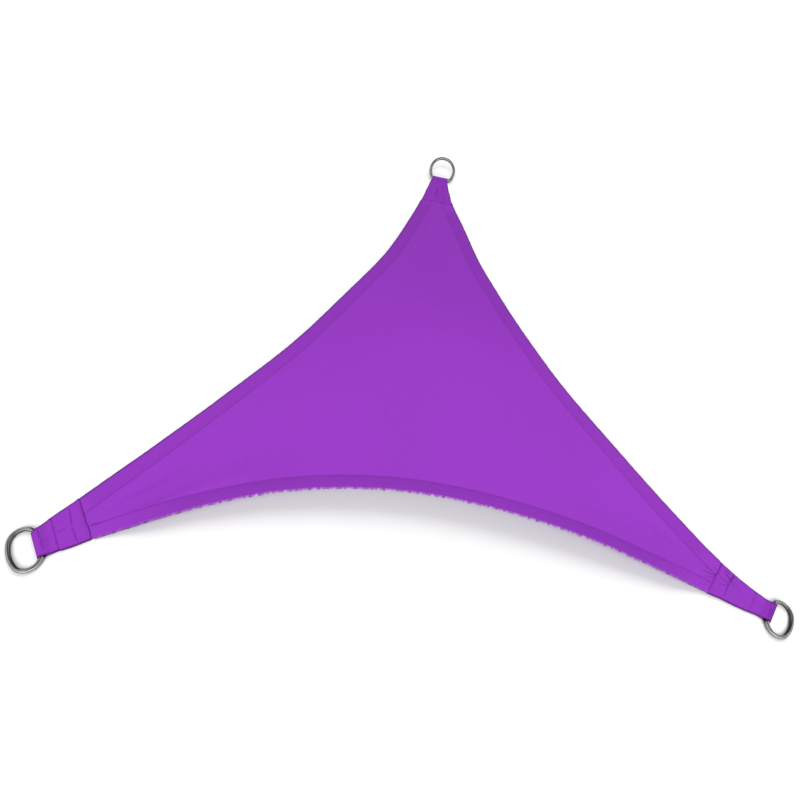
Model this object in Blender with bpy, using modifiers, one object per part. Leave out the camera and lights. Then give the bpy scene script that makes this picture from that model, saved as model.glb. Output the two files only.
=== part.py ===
"""Three-cornered shade sail with a steel D-ring sewn into each corner.

The sail rests on a floor: its three corners lie flat and the cloth between them is arched up
in one low crown. Metres, +Z up, floor at z = 0. The front edge faces -Y and the back corner +Y.
The origin is the middle of the whole sail's box, on the floor.
"""
import math

import bmesh
import bpy
import numpy as np
from mathutils import Matrix, Vector

MM = 0.001

# Driving dimensions
SIDE = 1.880  # between the strap ends of two corners, equal on all three sides
STRAP_WIDTH = 0.064  # width of each corner where it is folded round its ring
CROWN = 0.094  # height of the middle of the cloth above its flat corners
FLAT_RADIUS = 0.54 * SIDE  # from this far out to the corners, the cloth lies flat
HEM_WIDTH = 0.040
HEM_STEP = 0.003  # width of the slope between the doubled hem and the single cloth
BODY_THICKNESS = 0.002
HEM_THICKNESS = 0.003
PATCH_THICKNESS = 0.0015
LAYER_GAP = 0.0005  # between the cloth and each layer of the reinforcement
PATCH_OVERHANG = 0.003  # the reinforcement stands this far past the cloth's edge
WIRE_RADIUS = 0.0055
RING_CLEARANCE = 0.0004  # between the ring's bar and the fold of cloth around it

# How far each edge is drawn in from the straight line between its two strap ends, in mm,
# at these fractions of the line. The edges are pulled unevenly.
EDGE_STATIONS = (0.0, 0.06, 0.16, 0.28, 0.42, 0.56, 0.70, 0.84, 0.94, 1.0)
EDGES = (
    # first corner, second corner, drawn in (mm)
    ("left", "right", (0, 58, 140, 202, 228, 214, 174, 106, 44, 0)),
    ("left", "back", (0, 15, 51, 94, 132, 137, 122, 72, 26, 0)),
    ("back", "right", (0, 56, 107, 170, 210, 213, 167, 107, 54, 0)),
)

# Corners: bearing of the point from the sail's middle, turn of its strap end on that bearing,
# and length of the reinforcement.
CORNERS = {
    # name: (bearing, turn, patch length), degrees and metres
    "left": (210.0, 3.5, 0.115),
    "right": (330.0, -9.0, 0.170),
    "back": (90.0, -3.0, 0.155),
}

# Soft folds that fan out of the reinforcements. They start and end at these distances from the
# strap end, on a bearing off the corner's middle line, and open from nothing to their width.
FOLDS = (
    # corner, bearing (degrees), start, end, width at the end, height
    ("left", -6.0, 0.13, 0.62, 0.085, 0.0035),
    ("left", 6.5, 0.13, 0.50, 0.070, -0.0030),
    ("right", -5.0, 0.19, 0.66, 0.085, 0.0030),
    ("right", 5.5, 0.19, 0.52, 0.070, -0.0030),
    ("back", -4.5, 0.17, 0.60, 0.075, 0.0030),
    ("back", 6.0, 0.17, 0.48, 0.065, -0.0025),
)

# Half outlines of the rings, from the end of the straight bar to the middle of the bow: arcs that
# each turn on from the last. The last arc's radius closes the outline on the middle line.
BAR_HALF_LENGTH = 0.0328
FLAT_BOW = (
    # radius, turn (degrees), segments
    (0.007, 33.0, 4),
    (0.0295, 127.0, 12),
    (None, 20.0, 4),
)
ROUND_BOW = (
    (0.007, 58.0, 5),
    (0.062, 32.0, 4),
    (None, 90.0, 9),
)
RINGS = {
    # corner: outline, slid sideways in its strap, lifted out of the strap's plane (degrees)
    "left": (FLAT_BOW, 0.001, 0.0),
    "right": (FLAT_BOW, -0.001, 0.0),
    "back": (ROUND_BOW, 0.0, 35.0),
}

# Loop of cloth around the bar
LOOP_RADIUS = WIRE_RADIUS + RING_CLEARANCE + PATCH_THICKNESS  # outside of the fold
CLOTH_START = 0.030  # the sail's own cloth begins this far in from the strap end
LOOP_TAPER_END = 0.045  # here the top layer has come down onto the cloth
STRAIGHT_LOOP = 0.014  # the strap keeps its width over the ring's bar, to here
LOOP_STEPS = 10

# Heights of the middle of each layer above the floor, where the corner lies flat
BOTTOM_LAYER = PATCH_THICKNESS / 2
CLOTH_LAYER = PATCH_THICKNESS + LAYER_GAP + HEM_THICKNESS / 2
TOP_LAYER = CLOTH_LAYER + HEM_THICKNESS / 2 + LAYER_GAP + PATCH_THICKNESS / 2

# Mesh fineness
ARM_ROWS = 26  # from a strap end to the sail's middle
ARM_COLUMNS = 14  # from one edge to the other
HEM_COLUMNS = 2  # columns of the hem and its step, on each side

MIDDLE = Vector((0.0, SIDE / (2 * math.sqrt(3))))
CENTRE_RADIUS = SIDE / math.sqrt(3)  # from the sail's middle to each strap end


def smooth(x):
    """Eased step from 0 to 1."""
    x = min(1.0, max(0.0, x))
    return x * x * (3 - 2 * x)


def spline(stations, values, t):
    """Smooth curve through values at uneven stations."""
    last = len(stations) - 1
    i = min(last - 1, max(0, int(np.searchsorted(stations, t, side="right")) - 1))

    def slope(k):
        before, after = max(0, k - 1), min(last, k + 1)
        return (values[after] - values[before]) / (stations[after] - stations[before])

    step = stations[i + 1] - stations[i]
    s = (t - stations[i]) / step
    start = (1 + 2 * s) * (1 - s) ** 2 * values[i] + s * (1 - s) ** 2 * step * slope(i)
    end = s * s * (3 - 2 * s) * values[i + 1] - s * s * (1 - s) * step * slope(i + 1)
    return start + end


def bearing_vector(degrees):
    return Vector((math.cos(math.radians(degrees)), math.sin(math.radians(degrees))))


class Corner:
    """One corner: its strap end, the direction its ring pulls, and the line across it."""

    def __init__(self, name):
        bearing, turn, self.patch_length = CORNERS[name]
        self.name = name
        self.end = MIDDLE + CENTRE_RADIUS * bearing_vector(bearing)
        self.out = bearing_vector(bearing + turn)
        self.across = Vector((-self.out.y, self.out.x))

    def place(self, inward, sideways):
        """Plan point at a distance in from the strap end and off its middle line."""
        return self.end - self.out * inward + self.across * sideways

    def strap_side(self, towards):
        """The end of the strap's width that is nearer to another corner."""
        sides = [self.place(0, sign * STRAP_WIDTH / 2) for sign in (1, -1)]
        return min(sides, key=lambda point: (point - towards.end).length)


corners = {name: Corner(name) for name in CORNERS}


def edge_point(edge, t):
    """Plan point on an edge, t from 0 at its first corner to 1 at its second."""
    first, second, drawn_in = edge
    start = corners[first].strap_side(corners[second])
    end = corners[second].strap_side(corners[first])
    along = (end - start).normalized()
    inward = Vector((-along.y, along.x))
    if inward.dot(MIDDLE - start) < 0:
        inward = -inward
    return start.lerp(end, t) + inward * spline(EDGE_STATIONS, drawn_in, t) * MM


def edges_at(name):
    """The two edges that meet at a corner, each as a function of 0 at that corner and 0.5 at the
    edge's middle. The first has the cloth on its left when it is followed inwards."""
    found = []
    for edge in EDGES:
        if edge[0] == name:
            found.append(lambda t, edge=edge: edge_point(edge, t))
        elif edge[1] == name:
            found.append(lambda t, edge=edge: edge_point(edge, 1 - t))
    corner = corners[name]
    found.sort(key=lambda follow: (follow(0.0) - corner.end).dot(corner.across), reverse=True)
    return found


def ground_height(x, y):
    """Height of the arched cloth above its flat corners."""
    reach = (Vector((x, y)) - MIDDLE).length / FLAT_RADIUS
    return CROWN * max(0.0, 1 - reach * reach) ** 2


def fold_height(x, y):
    """Soft folds that fan out of the corners."""
    height = 0.0
    for name, bearing, start, end, width, rise in FOLDS:
        corner = corners[name]
        offset = corner.end - Vector((x, y))
        ahead = Matrix.Rotation(math.radians(bearing), 2) @ corner.out
        along = offset.dot(ahead)
        sideways = offset.dot(Vector((-ahead.y, ahead.x)))
        share = (along - start) / (end - start)
        half_width = width / 2 * along / end
        if 0 < share < 1 and abs(sideways) < half_width:
            swell = smooth(share / 0.3) * smooth((1 - share) / 0.6)
            height += rise * swell * math.cos(math.pi / 2 * sideways / half_width) ** 2
    return height


def cloth_height(x, y):
    return CLOTH_LAYER + ground_height(x, y) + fold_height(x, y)


def make_material(name, colour, roughness, metallic=0.0):
    material = bpy.data.materials.new(name)
    material.use_nodes = True
    shader = material.node_tree.nodes["Principled BSDF"]
    shader.inputs["Base Color"].default_value = (*colour, 1.0)
    shader.inputs["Roughness"].default_value = roughness
    shader.inputs["Metallic"].default_value = metallic
    material.diffuse_color = (*colour, 1.0)
    return material


def add_object(name, data, material):
    data.materials.append(material)
    obj = bpy.data.objects.new(name, data)
    collection.objects.link(obj)
    obj.parent = root
    return obj


def mesh_from(name, bm):
    mesh = bpy.data.meshes.new(name)
    bm.normal_update()
    bm.to_mesh(mesh)
    bm.free()
    mesh.shade_smooth()
    return mesh


def grid_cells(bm, rows, columns):
    """Adds a grid and gives each of its points with its row and column number."""
    grid = bmesh.ops.create_grid(bm, x_segments=rows, y_segments=columns, size=0.5)
    for vert in grid["verts"]:
        yield vert, round((vert.co.x + 0.5) * rows), round((vert.co.y + 0.5) * columns)


# The sail's cloth: three arms that meet in the middle, each a grid between two edges


def arm_start(corner, follow):
    """Where along an edge the cloth begins, just behind the loop."""
    near, far = 0.0, 0.2
    for _ in range(40):
        t = (near + far) / 2
        if (corner.end - follow(t)).dot(corner.out) < CLOTH_START:
            near = t
        else:
            far = t
    return near


def hem_points(follow, t, opposite, share, side):
    """Three points in from an edge: on it, then on both sides of the step where its hem ends."""
    point = follow(t)
    across = opposite - point
    tangent = (follow(t + 0.01) - follow(t - 0.01)).normalized()
    square = Vector((-tangent.y, tangent.x)) * side
    inward = across.normalized().lerp(square, smooth(share / 0.12)).normalized()
    hem = min(HEM_WIDTH, 0.4 * across.length)
    return [point, point + inward * (hem - HEM_STEP / 2), point + inward * (hem + HEM_STEP / 2)]


def arm_points(name):
    """The plan points of one arm, row by row from its strap end to the sail's middle."""
    corner = corners[name]
    left, right = edges_at(name)
    left_start, right_start = arm_start(corner, left), arm_start(corner, right)
    hems = []
    for row in range(ARM_ROWS + 1):
        share = row / ARM_ROWS
        left_t = left_start + (0.5 - left_start) * share
        right_t = right_start + (0.5 - right_start) * share
        left_hem = hem_points(left, left_t, right(right_t), share, 1)
        right_hem = hem_points(right, right_t, left(left_t), share, -1)
        hems.append((left_hem, right_hem))
    between = ARM_COLUMNS - 2 * HEM_COLUMNS
    to_middle = MIDDLE - (hems[-1][0][-1] + hems[-1][1][-1]) / 2
    points = []
    for row, (left_hem, right_hem) in enumerate(hems):
        bend = to_middle * (row / ARM_ROWS) ** 2
        inner = []
        for column in range(1, between):
            share = column / between
            straight = left_hem[-1].lerp(right_hem[-1], share)
            inner.append(straight + bend * (1 - abs(2 * share - 1)))
        points.append(left_hem + inner + right_hem[::-1])
    return points


def build_cloth():
    bm = bmesh.new()
    hem_layer = bm.verts.layers.deform.verify()
    for name in CORNERS:
        points = arm_points(name)
        for vert, row, column in grid_cells(bm, ARM_ROWS, ARM_COLUMNS):
            spot = points[row][column]
            vert.co = (spot.x, spot.y, cloth_height(spot.x, spot.y))
            if min(column, ARM_COLUMNS - column) < HEM_COLUMNS:
                vert[hem_layer][0] = 1.0
    bmesh.ops.remove_doubles(bm, verts=bm.verts[:], dist=0.0001)
    cloth = add_object("sail", mesh_from("sail", bm), cloth_material)
    cloth.vertex_groups.new(name="hem")
    wall = cloth.modifiers.new("cloth thickness", "SOLIDIFY")
    wall.thickness = HEM_THICKNESS
    wall.vertex_group = "hem"
    wall.thickness_vertex_group = BODY_THICKNESS / HEM_THICKNESS
    wall.offset = 0.0


# Each corner's reinforcement: one strip under the cloth, round the ring's bar and back on top


def strip_profile(patch_length):
    """The strip's path seen from the side: distance in from the strap end, and height."""
    fold = LOOP_RADIUS - PATCH_THICKNESS / 2
    path = [(u, BOTTOM_LAYER) for u in np.linspace(patch_length, LOOP_RADIUS, 7)[:-1]]
    for i in range(LOOP_STEPS + 1):
        angle = math.pi * i / LOOP_STEPS
        path.append((LOOP_RADIUS - fold * math.sin(angle), LOOP_RADIUS - fold * math.cos(angle)))
    loop_top = LOOP_RADIUS + fold
    for u in np.linspace(LOOP_RADIUS, LOOP_TAPER_END, 8)[1:]:
        drop = smooth((u - LOOP_RADIUS) / (LOOP_TAPER_END - LOOP_RADIUS))
        path.append((u, loop_top + (TOP_LAYER - loop_top) * drop))
    path += [(u, TOP_LAYER) for u in np.linspace(LOOP_TAPER_END, patch_length, 6)[1:]]
    return path


def strap_half_widths(corner):
    """How far the strip reaches to each side of the corner's middle line, by distance in."""
    sides = []
    for sign, follow in zip((1, -1), edges_at(corner.name)):
        offsets = [follow(t) - corner.end for t in np.linspace(0.0, 0.25, 60)]
        inward = [-offset.dot(corner.out) for offset in offsets]
        sideways = [offset.dot(corner.across) for offset in offsets]
        sides.append((sign, inward, sideways))

    def reach(distance):
        widths = []
        for sign, inward, sideways in sides:
            edge = float(np.interp(distance, inward, sideways)) + sign * PATCH_OVERHANG
            widen = smooth((distance - STRAIGHT_LOOP) / (CLOTH_START - STRAIGHT_LOOP))
            widths.append(sign * STRAP_WIDTH / 2 * (1 - widen) + edge * widen)
        return widths

    return reach


def build_reinforcement(corner):
    profile = strip_profile(corner.patch_length)
    reach = strap_half_widths(corner)
    columns = 4
    bm = bmesh.new()
    for vert, row, column in grid_cells(bm, len(profile) - 1, columns):
        inward, height = profile[row]
        one_side, other_side = reach(inward)
        share = column / columns
        spot = corner.place(inward, one_side * (1 - share) + other_side * share)
        vert.co = (spot.x, spot.y, height + ground_height(spot.x, spot.y))
    name = "corner_" + corner.name
    strip = add_object(name, mesh_from(name, bm), patch_material)
    wall = strip.modifiers.new("cloth thickness", "SOLIDIFY")
    wall.thickness = PATCH_THICKNESS
    wall.offset = 0.0
    wall.use_even_offset = True


# Each corner's D-ring, bent from round steel bar


def ring_outline(arcs):
    """Points of a ring's centre line: x along the bar, y out towards the bow."""
    half = [Vector((BAR_HALF_LENGTH, 0.0))]
    heading = 0.0
    for radius, turn, segments in arcs:
        if radius is None:
            radius = half[-1].x / math.sin(math.radians(turn))
        centre = half[-1] + radius * Vector((-math.sin(heading), math.cos(heading)))
        for _ in range(segments):
            heading += math.radians(turn) / segments
            half.append(centre + radius * Vector((math.sin(heading), -math.cos(heading))))
    mirrored = [Vector((-point.x, point.y)) for point in half[-2::-1]]
    return half + mirrored


def build_ring(corner):
    arcs, slide, lift = RINGS[corner.name]
    outline = ring_outline(arcs)
    curve = bpy.data.curves.new("ring_" + corner.name, "CURVE")
    curve.dimensions = "3D"
    curve.bevel_depth = WIRE_RADIUS
    curve.bevel_resolution = 3
    spline_line = curve.splines.new("POLY")
    spline_line.points.add(len(outline) - 1)
    spline_line.use_cyclic_u = True
    for point, spot in zip(spline_line.points, outline):
        point.co = (spot.x, spot.y, 0.0, 1.0)
    ring = add_object("ring_" + corner.name, curve, steel_material)
    bow_reach = max(point.y for point in outline)
    droop = math.asin((LOOP_RADIUS - WIRE_RADIUS) / bow_reach)  # the bow comes down to the floor
    pitch = math.radians(lift) if lift else -droop
    bar = corner.place(LOOP_RADIUS, slide)
    turn = Matrix((
        (-corner.across.x, corner.out.x, 0.0),
        (-corner.across.y, corner.out.y, 0.0),
        (0.0, 0.0, 1.0),
    )).to_4x4()
    ring.matrix_local = (
        Matrix.Translation((bar.x, bar.y, LOOP_RADIUS)) @ turn @ Matrix.Rotation(pitch, 4, "X")
    )


def centre_on_origin():
    """Moves the whole sail so that the middle of its box, in plan, is the origin."""
    bpy.context.view_layer.update()
    depsgraph = bpy.context.evaluated_depsgraph_get()
    spots = []
    for obj in collection.objects:
        if obj.type == "EMPTY":
            continue
        shown = obj.evaluated_get(depsgraph)
        mesh = shown.to_mesh()
        spots += [shown.matrix_world @ vert.co for vert in mesh.vertices]
        shown.to_mesh_clear()
    low = [min(spot[axis] for spot in spots) for axis in range(3)]
    high = [max(spot[axis] for spot in spots) for axis in range(3)]
    root.location = (-(low[0] + high[0]) / 2, -(low[1] + high[1]) / 2, 0.0)
    bpy.context.view_layer.update()


for old in list(bpy.data.objects):
    bpy.data.objects.remove(old, do_unlink=True)

collection = bpy.data.collections.new("shade_sail")
bpy.context.scene.collection.children.link(collection)
root = bpy.data.objects.new("shade_sail_origin", None)
collection.objects.link(root)

cloth_material = make_material("sail cloth", (0.33, 0.051, 0.56), 0.75)
patch_material = make_material("corner cloth", (0.28, 0.042, 0.49), 0.75)
steel_material = make_material("polished steel", (0.60, 0.60, 0.59), 0.22, metallic=1.0)

build_cloth()
for corner in corners.values():
    build_reinforcement(corner)
    build_ring(corner)
centre_on_origin()
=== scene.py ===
import math

import bmesh
import bpy
import numpy as np
from mathutils import Matrix, Vector


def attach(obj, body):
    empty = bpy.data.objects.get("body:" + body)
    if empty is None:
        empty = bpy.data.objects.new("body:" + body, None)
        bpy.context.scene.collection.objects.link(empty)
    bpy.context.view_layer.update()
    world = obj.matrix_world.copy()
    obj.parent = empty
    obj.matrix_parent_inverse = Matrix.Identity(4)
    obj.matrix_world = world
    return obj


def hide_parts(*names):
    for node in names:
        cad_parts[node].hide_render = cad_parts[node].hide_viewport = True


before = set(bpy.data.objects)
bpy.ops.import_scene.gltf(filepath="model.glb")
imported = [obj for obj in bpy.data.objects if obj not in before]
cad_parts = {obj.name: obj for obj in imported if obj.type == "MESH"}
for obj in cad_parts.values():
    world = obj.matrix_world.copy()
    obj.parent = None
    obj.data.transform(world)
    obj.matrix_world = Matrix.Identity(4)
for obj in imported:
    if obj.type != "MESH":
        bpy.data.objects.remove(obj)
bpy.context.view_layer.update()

mm = 0.001

# The whole sail, laid out with its middle arched up. Sizes are in metres unless a note says mm.
sail = {
    "side": 1.880,  # between the strap ends of two corners
    "middle": (-0.0002, -0.2732),  # of the three strap ends, seen from above
    "strapWidth": 0.064,  # of each corner where it goes round its ring
    "crown": 0.094,  # how high the middle is arched
    "flatRadius": 0.54,  # of a side: further out than this the cloth lies flat
    "topHeight": 0.0036,  # of the cloth's upper face where it lies flat
    "clothThickness": 0.0010,
    "hemThickness": 0.0021,
    "startsIn": 0.018,  # the cloth begins this far in from the strap end
    "rows": 280,  # from each strap end to the middle
    "innerColumns": 30,
    "hemColumns": (0.0, 0.03, 0.18, 0.45, 0.8, 0.93, 1.0, 1.07, 1.2),  # shares of the hem's width
}

# The three edges. drawnIn says how far, in mm, each is pulled in from the straight line between
# its strap ends, at the shares of that line in edgeStations. ragged and lift are how far its rim
# wanders and curls up. hemShade is how dark its hem is, growing from nothing over shadeFrom past
# the straps. rimFade makes the painted shade along the folded rim lighter, and frayed shows pale
# ends of yarns along it.
edgeStations = (0.0, 0.06, 0.16, 0.28, 0.42, 0.56, 0.70, 0.84, 0.94, 1.0)
edges = {
    "front": {
        "corners": ("left", "right"),
        "hem": 0.036,
        "ragged": 0.0021,
        "lift": 0.020,
        "hemShade": 0.80,
        "shadeFrom": 0.22,
        "rimFade": 0.0010,
        "frayed": 1.0,
        "drawnIn": (0, 58, 140, 204, 228, 214, 174, 106, 44, 0),
    },
    "left": {
        "corners": ("left", "back"),
        "hem": 0.042,
        "ragged": 0.0005,
        "lift": 0.002,
        "hemShade": 0.90,
        "shadeFrom": 0.02,
        "rimFade": 0.0,
        "frayed": 0.0,
        "drawnIn": (0, 13.8, 51, 94, 132, 135, 122, 72, 26, 0),
    },
    "right": {
        "corners": ("back", "right"),
        "hem": 0.046,
        "ragged": 0.0005,
        "lift": 0.002,
        "hemShade": 0.88,
        "shadeFrom": 0.05,
        "rimFade": 0.0,
        "frayed": 0.0,
        "drawnIn": (0, 51, 103, 168, 206, 210, 167, 106, 49, 0),
    },
}

# The three corners. bearing points from the sail's middle, and turn swings the strap on it.
# Sizes are in mm: inward from the strap end, and sideways off the strap's middle line. Each ring
# has its own bow, slides along its strap's fold and lifts by some degrees. rows are of stitches:
# both ends, a stitch's length, the pitch, and how dark the painted shade along the row is. ply
# says how far the upper strap's second ply goes, and how thick it is. loopShade is painted shade
# on the fold round the bar, and shade is painted shade over the whole strap, darkest at the back.
# endFade makes the painted shade along the strap's end lighter, at its two sides. trim says how
# far both sides stand outside of the edges, at places inward.
corners = {
    "left": {
        "bearing": 210.0,
        "turn": 3.5,
        "strap": 112,
        "ring": {"bow": "flat", "slide": 1.0, "lift": -1.86},
        "rows": (
            ((15, -30), (17, 18), 5.0, 9.0, 0.7),
            ((45, -41), (43, 33), 5.5, 11.0, 0.85),
            ((86, -54), (82, -12), 4.0, 5.5, 0.9),
            ((81, -4), (82, 33), 4.0, 5.5, 0.85),
            ((108, -58), (106, 36), 3.2, 5.0, 0.2),
        ),
        "ply": (44, 0.6),
        "loopShade": 0.1,
        "endFade": (0.6, 0.6),
        "shade": 1.0,
        "trim": ((0, 2.4, -5.0), (12, 1.5, -1.5), (28, 0.0, 1.0), (43, -1.6, 2.0), (46, 0.6, 2.0),
                 (76, 0.9, 0.2), (100, -0.8, -1.2), (109, -1.0, 0.0), (112, -2.6, 0.0)),
    },
    "right": {
        "bearing": 330.0,
        "turn": -9.0,
        "strap": 169,
        "ring": {"bow": "flat", "slide": -1.0, "lift": -1.86},
        "rows": (
            ((16, 20), (13, -26), 3.2, 5.0, 0.8),
            ((60, 20), (55, -34), 3.2, 5.0, 0.5),
            ((126, 15), (131, -9), 3.2, 5.0, 0.9),
            ((131, -13), (128, -62), 3.2, 5.0, 0.6),
            ((163, 20), (166, -72), 3.2, 5.0, 0.3),
        ),
        "ply": (57, 0.3),
        "loopShade": 0.6,
        "endFade": (0.4, 3.4),
        "shade": 1.0,
        "trim": ((0, -3.0, -2.0), (14, -4.8, -3.6), (26, -5.0, -6.5), (40, -4.2, -6.4),
                 (64, -4.6, -3.2), (92, -3.8, -1.8), (136, -3.1, -2.7), (150, -2.6, -1.5),
                 (161, -3.4, -1.0), (169, -1.8, -0.4)),
    },
    "back": {
        "bearing": 90.0,
        "turn": -3.0,
        "strap": 158,
        "ring": {"bow": "round", "slide": 0.0, "lift": 35.0},
        "rows": (
            ((18, -29), (18, 29), 3.2, 5.0, 0.12),
            ((154, -42), (153, 28), 3.2, 5.0, 0.12),
        ),
        "ply": (90, 0.2),
        "loopShade": 0.0,
        "endFade": (4.6, 4.6),
        "shade": 0.80,
        "trim": ((0, -1.0, -4.6), (16, -0.2, -7.0), (30, 1.4, -5.6), (42, 1.2, -4.4),
                 (66, -0.5, -4.2), (78, -0.6, -3.0), (90, -0.2, -1.0), (112, -1.5, -0.6),
                 (136, -2.9, -3.4), (158, -2.3, 0.4)),
    },
}


def smooth(x):
    x = min(1.0, max(0.0, x))
    return x * x * (3 - 2 * x)


def spline(values, t):  # smooth curve through the values at edgeStations, and its slope
    last = len(edgeStations) - 1
    i = min(last - 1, max(0, int(np.searchsorted(edgeStations, t, side="right")) - 1))

    def slope(k):
        before, after = max(0, k - 1), min(last, k + 1)
        return (values[after] - values[before]) / (edgeStations[after] - edgeStations[before])

    step = edgeStations[i + 1] - edgeStations[i]
    s = (t - edgeStations[i]) / step
    a, b, leaves, arrives = values[i], values[i + 1], slope(i) * step, slope(i + 1) * step
    value = a + (b - a) * s * s * (3 - 2 * s)
    value += s * (1 - s) * ((1 - s) * leaves - s * arrives)
    rate = 6 * s * (1 - s) * (b - a)
    rate += (1 - s) * (1 - 3 * s) * leaves + s * (3 * s - 2) * arrives
    return value, rate / step


def ripple(x, length, seed):  # an uneven wave of about that length, from -1 to 1
    x = x * 2 * math.pi / length
    total = math.sin(x + seed)
    total += 0.7 * math.sin(0.618 * x + 2.3 * seed) + 0.5 * math.sin(1.71 * x + 4.1 * seed)
    return total / 2.2


middle = Vector(sail["middle"])
flatRadius = sail["flatRadius"] * sail["side"]

for corner in corners.values():
    bearing = math.radians(corner["bearing"])
    pull = math.radians(corner["bearing"] + corner["turn"])
    reach = sail["side"] / math.sqrt(3)
    corner["end"] = middle + reach * Vector((math.cos(bearing), math.sin(bearing)))
    corner["out"] = Vector((math.cos(pull), math.sin(pull)))
    corner["across"] = Vector((-corner["out"].y, corner["out"].x))


def cornerSpot(corner, inward, sideways):  # seen from above
    return corner["end"] - corner["out"] * inward + corner["across"] * sideways


def inCorner(corner, spot):  # the other way round: (inward, sideways)
    offset = spot - corner["end"]
    return -offset.dot(corner["out"]), offset.dot(corner["across"])


def strapSide(corner, other):  # the end of a strap, on its side towards another corner
    half = sail["strapWidth"] / 2
    sides = [cornerSpot(corner, 0, side * half) for side in (1, -1)]
    return min(sides, key=lambda spot: (spot - other["end"]).length)


for edge in edges.values():
    first, second = (corners[name] for name in edge["corners"])
    edge["start"], edge["end"] = strapSide(first, second), strapSide(second, first)
    edge["length"] = (edge["end"] - edge["start"]).length
    edge["along"] = (edge["end"] - edge["start"]).normalized()
    edge["inward"] = Vector((-edge["along"].y, edge["along"].x))
    if edge["inward"].dot(middle - edge["start"]) < 0:
        edge["inward"] = -edge["inward"]


def edgeSpot(edge, t, inside=0.0):  # on an edge, or on a line that runs inside it
    drawn, rate = spline(edge["drawnIn"], t)
    slope = rate * mm / edge["length"]
    spot = edge["start"].lerp(edge["end"], t) + edge["inward"] * drawn * mm
    return spot + (edge["inward"] - edge["along"] * slope).normalized() * inside


def fromEdge(edge, spot):  # how far along the edge a spot is, from 0 to 1, and how far inside it
    offset = spot - edge["start"]
    t = min(1.0, max(0.0, offset.dot(edge["along"]) / edge["length"]))
    drawn, rate = spline(edge["drawnIn"], t)
    slope = rate * mm / edge["length"]
    return t, (offset.dot(edge["inward"]) - drawn * mm) / math.hypot(1, slope)


def groundHeight(spot):  # the low arch of the whole sail
    reach = (spot - middle).length / flatRadius
    return sail["crown"] * max(0.0, 1 - reach * reach) ** 2


# Soft folds that fan out of the straps. bearing is off the corner's middle line; they run from
# start to end, in from the strap end, and open from nothing to width.
fanFolds = (
    {"corner": "left", "bearing": -6.0, "start": 0.13, "end": 0.62, "width": 0.085, "rise": 0.0035},
    {"corner": "left", "bearing": 6.5, "start": 0.13, "end": 0.50, "width": 0.070, "rise": -0.0030},
    {"corner": "right", "bearing": -5.0, "start": 0.19, "end": 0.66, "width": 0.085, "rise": 0.0030},
    {"corner": "right", "bearing": 5.5, "start": 0.19, "end": 0.52, "width": 0.070, "rise": -0.0030},
    {"corner": "back", "bearing": -4.5, "start": 0.17, "end": 0.60, "width": 0.075, "rise": 0.0030},
    {"corner": "back", "bearing": 6.0, "start": 0.17, "end": 0.48, "width": 0.065, "rise": -0.0025},
)


def fanHeight(spot):
    height = 0.0
    for fold in fanFolds:
        corner = corners[fold["corner"]]
        ahead = Matrix.Rotation(math.radians(fold["bearing"]), 2) @ corner["out"]
        offset = corner["end"] - spot
        along, sideways = offset.dot(ahead), offset.dot(Vector((-ahead.y, ahead.x)))
        share = (along - fold["start"]) / (fold["end"] - fold["start"])
        half = fold["width"] / 2 * along / fold["end"]
        if 0 < share < 1 and abs(sideways) < half:
            swell = smooth(share / 0.3) * smooth((1 - share) / 0.6)
            height += fold["rise"] * swell * math.cos(math.pi / 2 * sideways / half) ** 2
    return height


# Small sharp creases, as (inward, sideways) in mm at both ends, then width and depth in mm.
creases = {
    "left": (
        ((46, -8), (80, -12), 5, 0.35),
        ((118, 8), (150, 12), 6, 0.5),
    ),
    "right": (
        ((126, 19), (131, -16), 7, 1.2),
        ((131, -8), (128, -60), 5, 0.6),
        ((127, -13), (166, -19), 5, 0.5),
        ((127, -2), (160, 8), 6, 0.7),
        ((136, 12), (166, 13), 6, 0.5),
        ((134, -4), (94, 4), 5, 0.4),
        ((134, -9), (80, -8), 5, 0.4),
        ((133, -24), (158, -42), 6, 0.4),
        ((162, -19), (216, -41), 5, 0.8),
        ((162, -20), (220, -16), 5, 0.7),
        ((162, -24), (207, -58), 5, 0.5),
        ((162, -12), (204, 7), 5, 0.5),
    ),
    "back": (
        ((60, 6), (152, 21), 5, 0.6),
        ((98, 3), (160, 9), 4, 0.5),
        ((102, -6), (158, -36), 5, 0.5),
        ((40, -10), (84, -16), 5, 0.3),
    ),
}


# dark is painted shade in the crease, used on the cloth and on the straps
def creaseDepth(name, inward, sideways, layer):  # depth, and how dark the crease looks
    depth, dark = 0.0, 0.0
    limit = corners[name]["strap"]
    for (u0, v0), (u1, v1), width, deep in creases[name]:
        onCloth = min(u0, u1) >= limit - 10  # it starts past the strap, or just under its end
        if onCloth != (layer == "cloth"):
            continue
        start, line = Vector((u0, v0)) * mm, Vector((u1 - u0, v1 - v0)) * mm
        offset = Vector((inward, sideways)) - start
        share = offset.dot(line) / line.length_squared
        if not -0.05 < share < 1.05:
            continue
        away = abs(offset.x * line.y - offset.y * line.x) / line.length
        wide = width * mm * (1 - 0.35 * share)
        if away < wide:
            ends = smooth((share + 0.05) / 0.2) * smooth((1.05 - share) / 0.5)
            cut = math.cos(math.pi / 2 * away / wide) ** 2 * ends
            depth += deep * mm * cut
            dark = max(dark, cut * min(1.0, deep / 0.85))
    return depth, dark


# The small forms of the cloth's surface, as height, then length of its waves where it has any.
surface = {
    "groove": (0.0006, 0.0022),  # of the hem's seam: depth and width
    "hemPuff": (0.00035, 0.021),
    "rimWave": (0.0005, 0.033),
    "puckers": (0.0013, 0.062),
    "puckersReach": 0.06,  # into the cloth from the seam
    "slack": (0.0016, 0.41, 0.47),
    "fringe": 0.0022,  # how far in from the rim torn yarns show
    "wornFrom": 0.35,  # the rim is worn fully only this far past the straps
    "curlReach": 0.13,  # how far in the curl of the edges goes
    "curlLean": 0.56,  # how far the curled edge leans out, as a share of its height
}


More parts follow.
